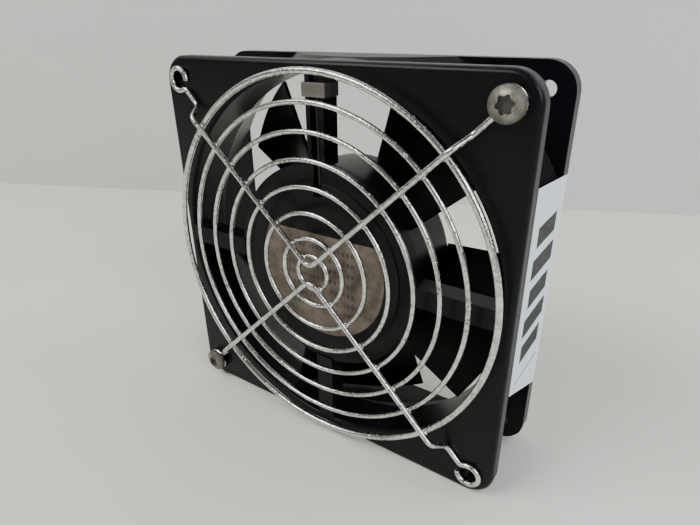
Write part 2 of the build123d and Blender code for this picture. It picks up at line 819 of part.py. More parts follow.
def make_guard_screws():
    """Two domed screws with a six-lobe recess, at opposite corners."""
    tip = HEAD_SEAT - SCREW_L
    rim = HEAD_SEAT + HEAD_RIM
    dome_r = (HEAD_R**2 + HEAD_DOME**2) / (2 * HEAD_DOME)
    halfway = (HEAD_R / 2, HEAD_TOP - dome_r + sqrt(dome_r**2 - (HEAD_R / 2) ** 2))
    with BuildPart() as screw:
        with BuildSketch(AXIAL):
            with BuildLine():
                Polyline(
                    (0, HEAD_TOP),
                    (0, tip),
                    (SCREW_TIP_R, tip),
                    (THREAD_R, tip + SCREW_TIP),
                    (THREAD_R, HEAD_SEAT),
                    (HEAD_R, HEAD_SEAT),
                    (HEAD_R, rim),
                )
                ThreePointArc((HEAD_R, rim), halfway, (0, HEAD_TOP))
            make_face()
        revolve(axis=Axis.Y)
        with BuildSketch(front(HEAD_TOP - RECESS_DEPTH)):
            Circle(RECESS_R)
            with PolarLocations(LOBE_PITCH_R, LOBES):
                Circle(LOBE_R)
        extrude(amount=RECESS_DEPTH, mode=Mode.SUBTRACT)
    with BuildPart() as screws:
        with Locations((HOLE_AT, 0, HOLE_AT), (-HOLE_AT, 0, -HOLE_AT)):
            add(screw.part)
    save(screws, "guard_screws")


# ---------------------------------------------------------------- labels


def make_labels():
    with BuildPart() as hub_label:
        with BuildSketch(front(STEP_FRONT)):
            Circle(LABEL_R)
            with Locations((0, LABEL_CUT_Z + LABEL_R)):
                Rectangle(2 * LABEL_R, 2 * LABEL_R, mode=Mode.SUBTRACT)
        extrude(amount=PAPER_T)
    save(hub_label, "hub_label")

    with BuildPart() as sticker:
        with BuildSketch(Plane.YZ.offset(SIZE / 2)):
            Polygon(
                (STICKER_EDGE - FRONT_FLANGE, STICKER_FRONT_Z[0]),
                (STICKER_EDGE - FRONT_FLANGE, STICKER_FRONT_Z[1]),
                (-STICKER_EDGE, STICKER_REAR_Z[1]),
                (-STICKER_EDGE, STICKER_REAR_Z[0]),
                align=None,
            )
        extrude(amount=PAPER_T)
    save(sticker, "side_sticker")


make_housing()
make_lead("red_lead", -LEAD_X)
make_lead("blue_lead", LEAD_X)
make_clip()
make_impeller()
make_rotor()
make_bearing_tube()
make_bearing("rear", REAR_BEARING)
make_bearing("front", FRONT_BEARING)
make_stator()
make_electronics()
make_guard_rings()
make_support_wire("guard_upper_wire", 1)
make_support_wire("guard_lower_wire", -1)
make_guard_screws()
make_labels()
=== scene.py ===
# %% [markdown]
# A square cooling fan with a wire finger guard. The working model holds every part at its real
# size and says what turns. This script loads it as a fixed frame and gives it its looks: finer
# wires, screws, labels and softened mouldings, and a finish for every part.

# %% Load the frame
from math import ceil, cos, pi, radians, sin, sqrt

import bmesh
import bpy
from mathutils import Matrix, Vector, noise


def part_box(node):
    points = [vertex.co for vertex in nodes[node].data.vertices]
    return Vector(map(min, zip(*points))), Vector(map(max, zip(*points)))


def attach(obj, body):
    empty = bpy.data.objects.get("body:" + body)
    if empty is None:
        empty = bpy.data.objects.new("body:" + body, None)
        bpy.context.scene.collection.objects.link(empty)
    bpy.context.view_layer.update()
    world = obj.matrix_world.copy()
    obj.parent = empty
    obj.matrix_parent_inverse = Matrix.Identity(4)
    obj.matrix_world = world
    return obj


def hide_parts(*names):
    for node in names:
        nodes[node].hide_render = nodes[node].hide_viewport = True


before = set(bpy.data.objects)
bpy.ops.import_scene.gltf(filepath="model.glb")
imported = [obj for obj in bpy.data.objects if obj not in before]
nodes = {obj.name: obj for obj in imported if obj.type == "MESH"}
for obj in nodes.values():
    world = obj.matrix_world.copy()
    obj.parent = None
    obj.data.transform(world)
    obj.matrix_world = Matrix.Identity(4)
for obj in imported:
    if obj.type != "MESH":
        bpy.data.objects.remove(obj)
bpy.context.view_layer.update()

MM = 0.001
print("parts in the frame:", len(nodes))

# %% Read the floor off the frame
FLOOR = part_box("housing")[0].z
print("floor at", round(FLOOR, 4))

# %% [markdown]
# The camera stands close, above and to the right of the fan, so its near lower corner looks
# large. A wide lens from nearby gives that strong perspective. A long lens from far away would
# show the same corner much flatter.

# %% Set the camera
LENS_MM = 26.79
SENSOR_MM = 36.0
CAMERA_AT = (0.08908, -0.14376, 0.06857)
CAMERA_TURN = (65.07, 0.72, 34.59)

lens = bpy.data.cameras.new("camera")
lens.lens = LENS_MM
lens.sensor_width = SENSOR_MM
lens.clip_start = 0.005
lens.dof.use_dof = False
camera = bpy.data.objects.new("camera", lens)
camera.location = CAMERA_AT
camera.rotation_euler = [radians(a) for a in CAMERA_TURN]
bpy.context.scene.collection.objects.link(camera)
bpy.context.scene.camera = camera
print("camera distance", round(Vector(CAMERA_AT).length, 3))

# %% [markdown]
# A finish is a small recipe of texture nodes. Written by hand, each sum of two textures takes a
# node, two links and three names. Here a socket is wrapped so that Python's own + - * / build
# the Math nodes, and a recipe reads like the sentence that describes the material.


# %% Shader sums written as Python
class Signal:
    """A socket of a recipe, with arithmetic."""

    def __init__(self, recipe, socket):
        self.recipe = recipe
        self.socket = socket

    def sum_of(self, operation, first, second=0.0):
        if self.socket.type == "VECTOR":
            return self.recipe.node("VectorMath", {"operation": operation}, {0: first, 1: second})
        return self.recipe.node("Math", {"operation": operation}, {0: first, 1: second})

    def __add__(self, other):
        return self.sum_of("ADD", self, other)

    def __sub__(self, other):
        return self.sum_of("SUBTRACT", self, other)

    def __rsub__(self, other):
        return self.sum_of("SUBTRACT", other, self)

    def __mul__(self, other):
        return self.sum_of("MULTIPLY", self, other)

    def __truediv__(self, other):
        return self.sum_of("DIVIDE", self, other)

    def __gt__(self, other):
        return self.sum_of("GREATER_THAN", self, other)

    def __lt__(self, other):
        return self.sum_of("LESS_THAN", self, other)

    def __mod__(self, other):
        return self.sum_of("FLOORED_MODULO", self, other)

    def __abs__(self):
        return self.sum_of("ABSOLUTE", self)

    __radd__ = __add__
    __rmul__ = __mul__

    def ramp(self, start, stop):
        """0 below start, 1 above stop, and a smooth step between."""
        sockets = {0: self, 1: start, 2: stop, 3: 0.0, 4: 1.0}
        return self.recipe.node("MapRange", {"interpolation_type": "SMOOTHSTEP"}, sockets)

    def part(self, axis):
        """The X, Y or Z of a vector."""
        return self.recipe.node("SeparateXYZ", {}, {0: self}, axis)


# %% A recipe and the textures that it is made from
class Recipe:
    """One material: a Principled shader and the nodes that feed it."""

    def __init__(self, name):
        self.material = bpy.data.materials.new(name)
        self.material.use_nodes = True
        self.tree = self.material.node_tree
        self.shader = self.tree.nodes["Principled BSDF"]

    def node(self, kind, settings, sockets, output=0):
        made = self.tree.nodes.new("ShaderNode" + kind)
        for key, setting in settings.items():
            setattr(made, key, setting)
        for key, value in sockets.items():
            self.feed(made.inputs[key], value)
        return Signal(self, made.outputs[output])

    def feed(self, socket, value):
        if isinstance(value, Signal):
            self.tree.links.new(value.socket, socket)
        else:
            socket.default_value = value

    def place(self):
        return self.node("TexCoord", {}, {}, "Object")

    def facing(self):
        return self.node("NewGeometry", {}, {}, "Normal")

    def cloud(self, size_mm, detail=3.0, rough=0.5, at=None):
        """Soft noise whose blobs are about size_mm wide, from 0 to 1."""
        sockets = {"Vector": at or self.place(), "Scale": 1 / (size_mm * MM)}
        sockets |= {"Detail": detail, "Roughness": rough}
        return self.node("TexNoise", {}, sockets)

    def cells(self, size_mm, at=None):
        """Distance to the nearest of scattered points, for pits and specks."""
        sockets = {"Vector": at or self.place(), "Scale": 1 / (size_mm * MM)}
        return self.node("TexVoronoi", {"feature": "F1"}, sockets)

    def mix(self, low, high, amount):
        """A colour between low and high."""
        sockets = {0: amount, 6: colour(low), 7: colour(high)}
        return self.node("Mix", {"data_type": "RGBA"}, sockets, 2)

    def bump(self, height, depth_mm, strength=1.0):
        sockets = {"Height": height, "Distance": depth_mm * MM, "Strength": strength}
        return self.node("Bump", {}, sockets)

    def set(self, **values):
        """Feed the shader: base_color becomes its Base Color socket."""
        for key, value in values.items():
            name = key.replace("_", " ").title().replace("Ior", "IOR")
            self.feed(self.shader.inputs[name], colour(value) if key == "base_color" else value)
        return self.material


def colour(value):
    return value if isinstance(value, Signal) else (*value, 1.0)


# %% [markdown]
# The housing and impeller are black moulded plastic. It is never quite black or quite even: the
# mould leaves a fine leathery grain, handling leaves paler scuffs and glossy rubs, and dust
# settles on what faces up. All three are noise at different sizes, added together.


# %% Moulded black plastic
def moulded_black(name, body, shine, dusty):
    r = Recipe(name)
    grain = r.cloud(0.35, 2)
    clouds = r.cloud(14, 4, 0.6)
    scuffs = r.cloud(2.2, 6, 0.75).ramp(0.56, 0.74)
    faces_up = r.facing().part("Z").ramp(0.25, 1.0)
    dust = (r.cloud(0.9, 5, 0.8) * 0.6 + clouds * 0.4).ramp(0.42, 0.68)
    dust = dust * (faces_up * 0.75 + 0.12) * dusty
    tone = r.mix(body, [c * 2.4 + 0.003 for c in body], scuffs * clouds)
    return r.set(
        base_color=r.mix(tone, (0.08, 0.077, 0.074), dust),
        roughness=shine + clouds * 0.12 + scuffs * 0.08 + dust * 0.3,
        specular_ior_level=0.15,
        normal=r.bump(grain + scuffs * 0.5, 0.03),
    )


HOUSING_BLACK = moulded_black("housing_black", (0.003, 0.003, 0.0048), 0.27, 0.16)
IMPELLER_BLACK = moulded_black("impeller_black", (0.0026, 0.0026, 0.0042), 0.25, 0.22)

# %% [markdown]
# The guard is steel wire with bright plating. Years of air have pitted it, so small dark specks
# break the shine, thicker in some places than others. The specks are the cores of scattered
# cells, and a slow cloud decides where they come through.


# %% Plated wire
def plated_wire(name, pitting):
    r = Recipe(name)
    patches = r.cloud(9, 3, 0.6)
    pits = 1 - r.cells(1.1, r.place() + r.cloud(2.0, 3) * 0.001).ramp(0.14, 0.40)
    pits = pits * patches.ramp(0.58 - pitting, 0.72 - pitting * 0.5)
    haze = r.cloud(0.5, 4, 0.7)
    smears = r.cloud(1.5, 4, 0.75).ramp(0.40, 0.64)
    dulled = smears * 0.7 + patches.ramp(0.4, 0.75) * 0.3
    tone = r.mix((0.72, 0.71, 0.70), (0.34, 0.32, 0.30), dulled)
    return r.set(
        base_color=r.mix(tone, (0.05, 0.036, 0.026), pits * 0.9),
        metallic=1 - pits * 0.7,
        roughness=0.08 + haze * 0.08 + smears * 0.12 + pits * 0.4,
        normal=r.bump(haze * 0.3 + smears * 0.4 - pits, 0.06),
    )


WIRE = plated_wire("plated_wire", 0.18)
WELD = plated_wire("weld_metal", 0.32)


# %% [markdown]
# The motor's parts are small and mostly hidden, but a fan is taken apart, so each has its own
# metal, plastic or enamel. One recipe covers turned, ground and stamped metal: only the colour,
# the shine and the direction of its fine marks differ.


# %% Metals with fine tool marks
def worked_metal(name, tint, shine, marks_mm=0.12, stretch=(1, 12, 1), stain=0.35):
    r = Recipe(name)
    lines = r.cloud(marks_mm * 4, 2, 0.5, r.place() * Vector(stretch))
    clouds = r.cloud(5, 4, 0.6)
    tarnish = r.cloud(1.6, 5, 0.7).ramp(0.55, 0.8) * stain
    return r.set(
        base_color=r.mix(tint, [c * 0.35 for c in tint], tarnish + clouds * 0.12),
        metallic=1.0,
        roughness=shine + lines * 0.12 + tarnish * 0.3,
        normal=r.bump(lines, 0.006),
    )


# %% Plain moulded and cast parts
def moulded(name, tint, shine, grain_mm=0.3, mottle=0.3):
    r = Recipe(name)
    grain = r.cloud(grain_mm, 3)
    clouds = r.cloud(3, 4, 0.65)
    darker = [c * (1 - mottle) for c in tint]
    return r.set(
        base_color=r.mix(tint, darker, clouds.ramp(0.35, 0.7)),
        roughness=shine + clouds * 0.15,
        normal=r.bump(grain, 0.015),
    )


# %% [markdown]
# The windings are enamelled copper laid side by side. Each coil is one closed form in the frame, so
# the turns are drawn by its surface: a wave along the spoke makes a groove between turns, and each
# groove is painted darker copper as shade.


# %% Copper windings
def wound_copper(name):
    r = Recipe(name)
    spot = r.place()
    spread = spot.part("X") * spot.part("X") + spot.part("Z") * spot.part("Z")
    turns = r.node("Math", {"operation": "SQRT"}, {0: spread}) / (0.45 * MM)
    ridge = abs(turns % 1.0 - 0.5) * 2.0
    clouds = r.cloud(2.5, 4)
    # Painted shade: the grooves between turns are painted darker copper.
    tone = r.mix((0.62, 0.22, 0.07), (0.30, 0.09, 0.03), ridge.ramp(0.6, 1.0) + clouds * 0.3)
    return r.set(
        base_color=tone,
        metallic=0.85,
        roughness=0.22 + clouds * 0.15,
        normal=r.bump(1 - ridge, 0.12),
    )


# %% [markdown]
# A label is paper or foil with dark print. The print here is only rows of dashes and blocks that
# stand for writing without saying anything. Each mark is a product of yes-or-no steps along the
# label's two directions, so a row and a dash are each one line of sums.


# %% Printed paper and foil
def dashes(along, across, row_mm, dash_mm, fill, tall):
    """1 inside rows of short marks; fill and tall are a mark's shares of its step and row."""
    row = (across / (row_mm * MM)) % 1.0
    step = along / (dash_mm * MM)
    return (row < tall) * ((step % 1.0) < fill)


PRINT_HALF_MM, PRINT_TOP_MM, PRINT_FOOT_MM = 13.5, 9.3, 15.5


def hub_foil(name, middle):
    """Brownish foil with rows of dashes round the label's middle."""
    r = Recipe(name)
    spot = r.place()
    x = spot.part("X") - middle.x
    z = spot.part("Z") - middle.z
    clouds = r.cloud(5, 4, 0.65)
    words = r.cloud(3.1, 0, 0.5, r.place() * Vector((1, 0, 0.02))) > 0.42
    rows = dashes(x, z + 0.4 * MM, 3.4, 1.6, 0.66, 0.4) * words
    inside = (abs(x) < PRINT_HALF_MM * MM) * (z < PRINT_TOP_MM * MM) * (z > -PRINT_FOOT_MM * MM)
    ink = rows * inside * (r.cloud(0.4, 3) > 0.34)
    stain = r.cloud(1.3, 5, 0.75).ramp(0.55, 0.75)
    foil = r.mix((0.21, 0.17, 0.143), (0.11, 0.088, 0.074), clouds.ramp(0.3, 0.75) + stain * 0.3)
    return r.set(
        base_color=r.mix(foil, (0.03, 0.03, 0.03), ink * 0.85),
        metallic=0.8 - ink * 0.7,
        roughness=0.3 + clouds * 0.14 + ink * 0.1,
        normal=r.bump(r.cloud(0.25, 3), 0.012),
    )


BLOCKS = 8.2
BLOCK_FROM, BLOCK_TO = 0.235, 0.84
SLIT_AT = 0.19


def printed_paper(name, low, high):
    """White paper with a column of broad dark blocks and a thin slit under them."""
    r = Recipe(name)
    spot = r.place()
    up = (spot.part("Z") - low.z) / (high.z - low.z)
    deep = (spot.part("Y") - low.y) / (high.y - low.y)
    shifted = up + 0.012
    block = ((shifted * BLOCKS) % 1.0) > 0.34
    wide = ((shifted * (BLOCKS / 2)) % 1.0) > 0.5
    column = (abs(deep - 0.5) < wide * 0.04 + 0.30) * (up > BLOCK_FROM) * (up < BLOCK_TO)
    slit = (abs(up - SLIT_AT) < 0.004) * (abs(deep - 0.5) < 0.36)
    ink = block * column * (r.cloud(0.5, 3) > 0.31) + slit
    clouds = r.cloud(7, 4, 0.6)
    grime = r.cloud(2.2, 6, 0.8).ramp(0.58, 0.8)
    paper = r.mix((0.74, 0.79, 0.87), (0.60, 0.64, 0.71), clouds * 0.5 + grime * 0.5)
    return r.set(
        base_color=r.mix(paper, (0.008, 0.009, 0.012), ink),
        roughness=0.5 + clouds * 0.12 + grime * 0.2,
        specular_ior_level=0.25,
        normal=r.bump(r.cloud(0.3, 3) + r.cloud(9, 2) * 2.0, 0.05),
    )


# %% [markdown]
# The clip is grey plastic. Its face is painted pale grey as painted light and its cheeks nearly
# black as painted shade. The way that a face points decides the mix: front faces look along -Y.


# %% Clip with painted light on its face and painted shade on its cheeks
def clip_lit_face_shaded_cheeks(name):
    r = Recipe(name)
    # Painted light and shade: faces turned to the front get the pale grey, the cheeks the dark
    # grey.
    lit_front = (0.0 - r.facing().part("Y")).ramp(0.35, 0.9)
    clouds = r.cloud(2.4, 4, 0.65)
    specks = r.cloud(0.45, 4, 0.7).ramp(0.56, 0.72)
    lit_face_grey = r.mix((0.235, 0.215, 0.19), (0.15, 0.135, 0.12), clouds)
    shaded_cheek_grey = r.mix((0.035, 0.03, 0.026), (0.02, 0.018, 0.016), clouds)
    return r.set(
        base_color=r.mix(r.mix(shaded_cheek_grey, lit_face_grey, lit_front), (0.05, 0.045, 0.04), specks * 0.5),
        roughness=0.42 + clouds * 0.15,
        normal=r.bump(r.cloud(0.3, 3), 0.02),
    )


# %% [markdown]
# The screws are zinc plated and dull. Their recesses and thread roots are painted darker and duller
# wherever the surface lies low: painted shade. How far a point lies behind the rim of the head is
# known from its place, and that alone paints the shade.


# %% Dull zinc with painted shade in its hollows
def dull_zinc(name, rim):
    r = Recipe(name)
    clouds = r.cloud(2.2, 5, 0.7)
    scratches = r.cloud(0.5, 3, 0.6, r.place() * Vector((1, 4, 9))).ramp(0.5, 0.72)
    # Painted shade: the further a point lies behind the rim of the head, the darker it is painted.
    deep = (r.place().part("Y") - rim).ramp(-1.2 * MM, 0.2 * MM)
    rust = r.cloud(0.8, 5, 0.8).ramp(0.6, 0.75)
    zinc = r.mix((0.29, 0.285, 0.25), (0.15, 0.145, 0.125), clouds.ramp(0.3, 0.7))
    dull = r.mix(zinc, (0.10, 0.075, 0.055), rust * 0.7)
    return r.set(
        base_color=r.mix(dull, (0.05, 0.045, 0.04), deep * 0.75),
        metallic=0.95 - deep * 0.45,
        roughness=0.27 + clouds * 0.15 + rust * 0.2 + deep * 0.15,
        normal=r.bump(clouds + scratches * 0.5, 0.05),
    )


# %% [markdown]
# Every part gets a finish of its own kind. Some are drawn again below as finer pieces, which
# then stand in their place, but they keep a finish too, so no part of the frame is left bare.

# %% Finish the frame's own parts
FINISHES = {
    "housing": HOUSING_BLACK,
    "impeller": IMPELLER_BLACK,
    "lead_clip": moulded("clip_grey", (0.16, 0.15, 0.13), 0.42),
    # The leads are red and blue vinyl, painted nearly black: their own colour with painted shade.
    "red_lead": moulded("red_vinyl_with_painted_shade", (0.030, 0.012, 0.024), 0.3),
    "blue_lead": moulded("blue_vinyl_with_painted_shade", (0.012, 0.013, 0.04), 0.3),
    "hub_label": worked_metal("label_foil", (0.46, 0.41, 0.36), 0.38, 0.3),
    "side_sticker": moulded("sticker_paper", (0.78, 0.82, 0.88), 0.5, 0.2, 0.06),
    "guard_screws": worked_metal("screw_zinc", (0.42, 0.40, 0.36), 0.3, 0.2),
    "rotor_cup": worked_metal("drawn_steel", (0.5, 0.5, 0.5), 0.3),
    "magnet_ring": moulded("ferrite", (0.05, 0.05, 0.055), 0.6, 0.15),
    "rotor_bushing": worked_metal("bushing_brass", (0.72, 0.52, 0.22), 0.2),
    "shaft": worked_metal("ground_shaft", (0.7, 0.7, 0.7), 0.12, 0.05),
    "shaft_retaining_ring": worked_metal("spring_steel", (0.22, 0.22, 0.23), 0.35),
    "preload_spring_washer": worked_metal("washer_steel", (0.3, 0.28, 0.25), 0.3),
    "bearing_tube": worked_metal("tube_brass", (0.68, 0.5, 0.24), 0.25),
    "stator_core": worked_metal("lamination_steel", (0.3, 0.3, 0.31), 0.4, 0.1, (1, 30, 1)),
    "stator_coils": wound_copper("copper_winding"),
    "front_insulator": moulded("front_cap_nylon", (0.72, 0.68, 0.55), 0.4),
    "rear_insulator": moulded("rear_cap_nylon", (0.70, 0.66, 0.53), 0.4),
    "circuit_board": moulded("board_green", (0.02, 0.14, 0.06), 0.3, 0.4),
    "driver_chip": moulded("chip_epoxy", (0.02, 0.02, 0.022), 0.4, 0.1),
    "hall_sensor": moulded("sensor_epoxy", (0.025, 0.025, 0.025), 0.4, 0.1),
    "power_transistors": moulded("transistor_epoxy", (0.03, 0.03, 0.03), 0.45, 0.1),
    "board_capacitors": moulded("capacitor_ceramic", (0.42, 0.28, 0.15), 0.35, 0.15),
    "board_resistors": moulded("resistor_film", (0.04, 0.05, 0.09), 0.3, 0.15),
}
for part in nodes:
    if part.startswith("guard_ring") or part.endswith("_wire"):
        FINISHES[part] = WIRE
RACE = worked_metal("bearing_race", (0.68, 0.68, 0.7), 0.14, 0.06)
BALL = worked_metal("bearing_ball", (0.75, 0.75, 0.77), 0.07, 0.05, (1, 1, 1), 0.1)
SHIELD = worked_metal("bearing_shield", (0.5, 0.5, 0.51), 0.25)
CAGE = moulded("cage_nylon", (0.7, 0.62, 0.45), 0.4)
for place in ("front", "rear"):
    FINISHES[f"{place}_bearing_inner_ring"] = RACE
    FINISHES[f"{place}_bearing_outer_ring"] = RACE
    FINISHES[f"{place}_bearing_balls"] = BALL
    FINISHES[f"{place}_bearing_shields"] = SHIELD
    FINISHES[f"{place}_bearing_cage"] = CAGE

for part, finish in FINISHES.items():
    mesh = nodes[part].data
    mesh.materials.clear()
    mesh.materials.append(finish)
print("finished", len(FINISHES), "of", len(nodes), "parts")

# %% [markdown]
# Now the finer pieces. Most are skins: rows of points, each row joined to the next. A wire is
# rows of small rings along a path, a label is rows of flat loops, and a screw is rows of circles
# from the middle of its head to its tip. One helper joins the rows whatever they describe.


# %% Join rows of points into a piece
def skin(rows, loop=False):
    """Corners and faces between rows; each row closes on itself, and loop closes the last row."""
    across = len(rows[0])
    points = [p for row in rows for p in row]
    faces = []
    for i in range(len(rows) if loop else len(rows) - 1):
        here = i * across
        after = (i + 1) % len(rows) * across
        for k in range(across):
            m = (k + 1) % across
            faces.append((here + k, here + m, after + m, after + k))
    if not loop:
        faces.append(tuple(range(across))[::-1])
        faces.append(tuple(range(len(points) - across, len(points))))
    return points, faces


def add_piece(name, shells, finish, stands_for, sharp=40):
    """One object from several skins. It rides on the frame and stands for the frame's parts."""
    points, faces = [], []
    for shell_points, shell_faces in shells:
        start = len(points)
        points += shell_points
        faces += [[start + k for k in face] for face in shell_faces]
    mesh = bpy.data.meshes.new(name)
    mesh.from_pydata(points, [], faces)
    shape = bmesh.new()
    shape.from_mesh(mesh)
    bmesh.ops.recalc_face_normals(shape, faces=shape.faces)
    shape.to_mesh(mesh)
    shape.free()
    mesh.polygons.foreach_set("use_smooth", [True] * len(mesh.polygons))
    mesh.set_sharp_from_angle(angle=radians(sharp))
    mesh.materials.append(finish)
    piece = bpy.data.objects.new(name, mesh)
    bpy.context.scene.collection.objects.link(piece)
    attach(piece, "frame")
    if stands_for:
        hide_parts(*stands_for)
    print(name, len(faces), "faces")
    return piece


def ripple(at, size_mm, depth_mm):
    """A small smooth unevenness, never above zero, so nothing grows past its real size."""
    return (noise.noise(at / (size_mm * MM)) - 1) * 0.5 * depth_mm * MM


# %% [markdown]
# Each guard ring is a length of wire bent round and butt welded. It is never a perfect circle,
# and the joint leaves a low collar. Where a ring crosses a support wire the two are pressed and
# resistance welded, which leaves a little flattened pillow of metal on each side.

# %% Guard rings
RINGS = 8
RING_SIDES = 18
STEP_MM = 0.9
JOINT_MM = 0.5
COLLAR_MM = 0.05
rings = []
for number in range(1, RINGS + 1):
    low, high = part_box(f"guard_ring_{number}")
    middle = (low + high) / 2
    wire = (high.y - low.y) / 2
    radius = (high.x - low.x) / 2 - wire
    rings.append((middle, radius, wire))
    steps = ceil(2 * pi * radius / (STEP_MM * MM))
    joint = radians(97 + 131 * number)
    rows = []
    for i in range(steps):
        turn = 2 * pi * i / steps
        away = Vector((cos(turn), 0, sin(turn)))
        centre = middle + away * (radius + ripple(middle + away * radius, 25, 0.12))
        gap_mm = (turn - joint + pi) % (2 * pi) - pi
        gap_mm = abs(gap_mm) * radius / MM
        collar = COLLAR_MM * MM / (1 + (gap_mm / JOINT_MM) ** 4)
        row = []
        for k in range(RING_SIDES):
            around = 2 * pi * k / RING_SIDES
            out = away * cos(around) + Vector((0, sin(around), 0))
            size = wire + ripple(centre + out * wire, 0.8, 0.05)
            row.append(centre + out * (size + collar * (0.5 + 0.5 * cos(around))))
        rows.append(row)
    part = f"guard_ring_{number}"
    add_piece(f"ring_{number}", [skin(rows, loop=True)], WIRE, [part])
print("outermost ring radius", round(rings[0][1] / MM, 2), "mm")

# %% Where the support wires run
SUPPORT_MM = 1.6
ARM_BEND_MM = 3.0


def arm_ends(part, side, up):
    """The centre of a support wire at its inner bend and where it starts down to the foot."""
    low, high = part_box(part)
    thick = SUPPORT_MM * MM
    level = low.y + thick * 0.8
    front = [v.co for v in nodes[part].data.vertices if v.co.y < level and v.co.x * side > 0]
    reach = max(abs(v.x) for v in front)
    tip = [v for v in front if abs(v.x) > reach - thick * 1.1]
    outer = sum(tip, Vector()) / len(tip)
    inner_z = low.z if up > 0 else high.z
    bend = (sqrt(2) - 1) * ARM_BEND_MM * MM
    inner = Vector((rings[-1][0].x, 0, inner_z + up * (thick / 2 - bend)))
    middle_y = low.y + thick / 2
    return Vector((inner.x, middle_y, inner.z)), Vector((outer.x, middle_y, outer.z))


arms = []
for part, up in (("guard_upper_wire", 1), ("guard_lower_wire", -1)):
    for side in (-1, 1):
        arms.append(arm_ends(part, side, up))
print("arms from", [tuple(round(c / MM, 1) for c in a) for a, b in arms])
print("arms to", [tuple(round(c / MM, 1) for c in b) for a, b in arms])


# %% Weld pillows at the crossings
def crossing(inner, outer, middle, radius):
    """Where the line from inner to outer passes through a circle about middle."""
    run = Vector((outer.x - inner.x, 0, outer.z - inner.z))
    start = Vector((inner.x - middle.x, 0, inner.z - middle.z))
    a, b, c = run.dot(run), 2 * run.dot(start), start.dot(start) - radius**2
    t = (-b + sqrt(b * b - 4 * a * c)) / (2 * a)
    return inner + (outer - inner) * t, run.normalized()


PILLOW_ROWS = 12
PILLOW_SIDES = 20


def pillow(centre, along, wide, tall, seed):
    """A flattened lump: longest along the arm, uneven, with a flat waist where it was squeezed."""
    across = Vector((0, 1, 0)).cross(along)
    rows = []
    for i in range(1, PILLOW_ROWS):
        tilt = pi * i / PILLOW_ROWS
        row = []
        for k in range(PILLOW_SIDES):
            turn = 2 * pi * k / PILLOW_SIDES
            out = along * cos(turn) * 1.15 + across * sin(turn)
            point = out * sin(tilt) * wide + Vector((0, -cos(tilt) * tall, 0))
            uneven = 1 + 0.16 * noise.noise(point / (0.55 * MM) + Vector((seed, 0, 0)))
            row.append(centre + point * uneven)
        rows.append(row)
    return skin(rows)


pillows = []
for ring_number, (middle, radius, wire) in enumerate(rings):
    for arm_number, (inner, outer) in enumerate(arms):
        spot, along = crossing(inner, outer, middle, radius)
        contact = Vector((spot.x, middle.y - wire + 0.02 * MM, spot.z))
        seed = 7.3 * ring_number + 1.9 * arm_number
        pillows.append(pillow(contact, along, 0.92 * MM, 0.5 * MM, seed))
add_piece("guard_weld_pillows", pillows, WELD, [])
print("weld pillows", len(pillows))

# %% [markdown]
# The guard screws are pan heads with a six-lobed recess. The frame keeps each as a plain form of
# the right size. Here the head gets its rounded rim, the recess its wavy wall, and the shank its
# coarse thread: a helix is a radius that depends on height and angle together.

# %% Guard screws
HEAD_R_MM = 4.15
RIM_MM = 0.9
ROUND_MM = 0.35
RECESS_MM = 1.7
LOBE_MEAN_MM = 1.92
LOBE_WAVE_MM = 0.27
PITCH_MM = 1.6
ROOT_MM = 1.85
CREST_MM = 2.38
THREAD_STEP_MM = 0.1
SCREW_SIDES = 96
low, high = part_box("guard_screws")
screw_x, screw_z = high.x - HEAD_R_MM * MM, high.z - HEAD_R_MM * MM
head_top, screw_tip = low.y, high.y
head_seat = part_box("guard_upper_wire")[1].y - SUPPORT_MM * MM
dome_mm = (head_seat - head_top) / MM - RIM_MM
dome_r = (HEAD_R_MM**2 + dome_mm**2) / (2 * dome_mm)


def dome_behind(radius_mm):
    """How far the domed top lies behind the top of the head at a radius."""
    return dome_r - sqrt(dome_r**2 - radius_mm**2)


def lobed(turn, share):
    """The recess wall's radius; share 0 is round and 1 is fully lobed."""
    return LOBE_MEAN_MM + LOBE_WAVE_MM * share * cos(6 * turn)


def thread_radius(turn, down_mm, length_mm):
    """The thread's radius at an angle and a depth under the head: flat root, sharp crest."""
    phase = (down_mm / PITCH_MM + turn / (2 * pi)) % 1.0
    crest = max(0.0, 1 - abs(phase - 0.5) / 0.28)
    fade = min(1.0, max(0.0, (length_mm - down_mm) / 2.2)) * min(1.0, down_mm / 0.5)
    core = ROOT_MM * min(1.0, 0.4 + 0.6 * (length_mm - down_mm) / 1.6)
    return core + (CREST_MM - ROOT_MM) * crest * fade


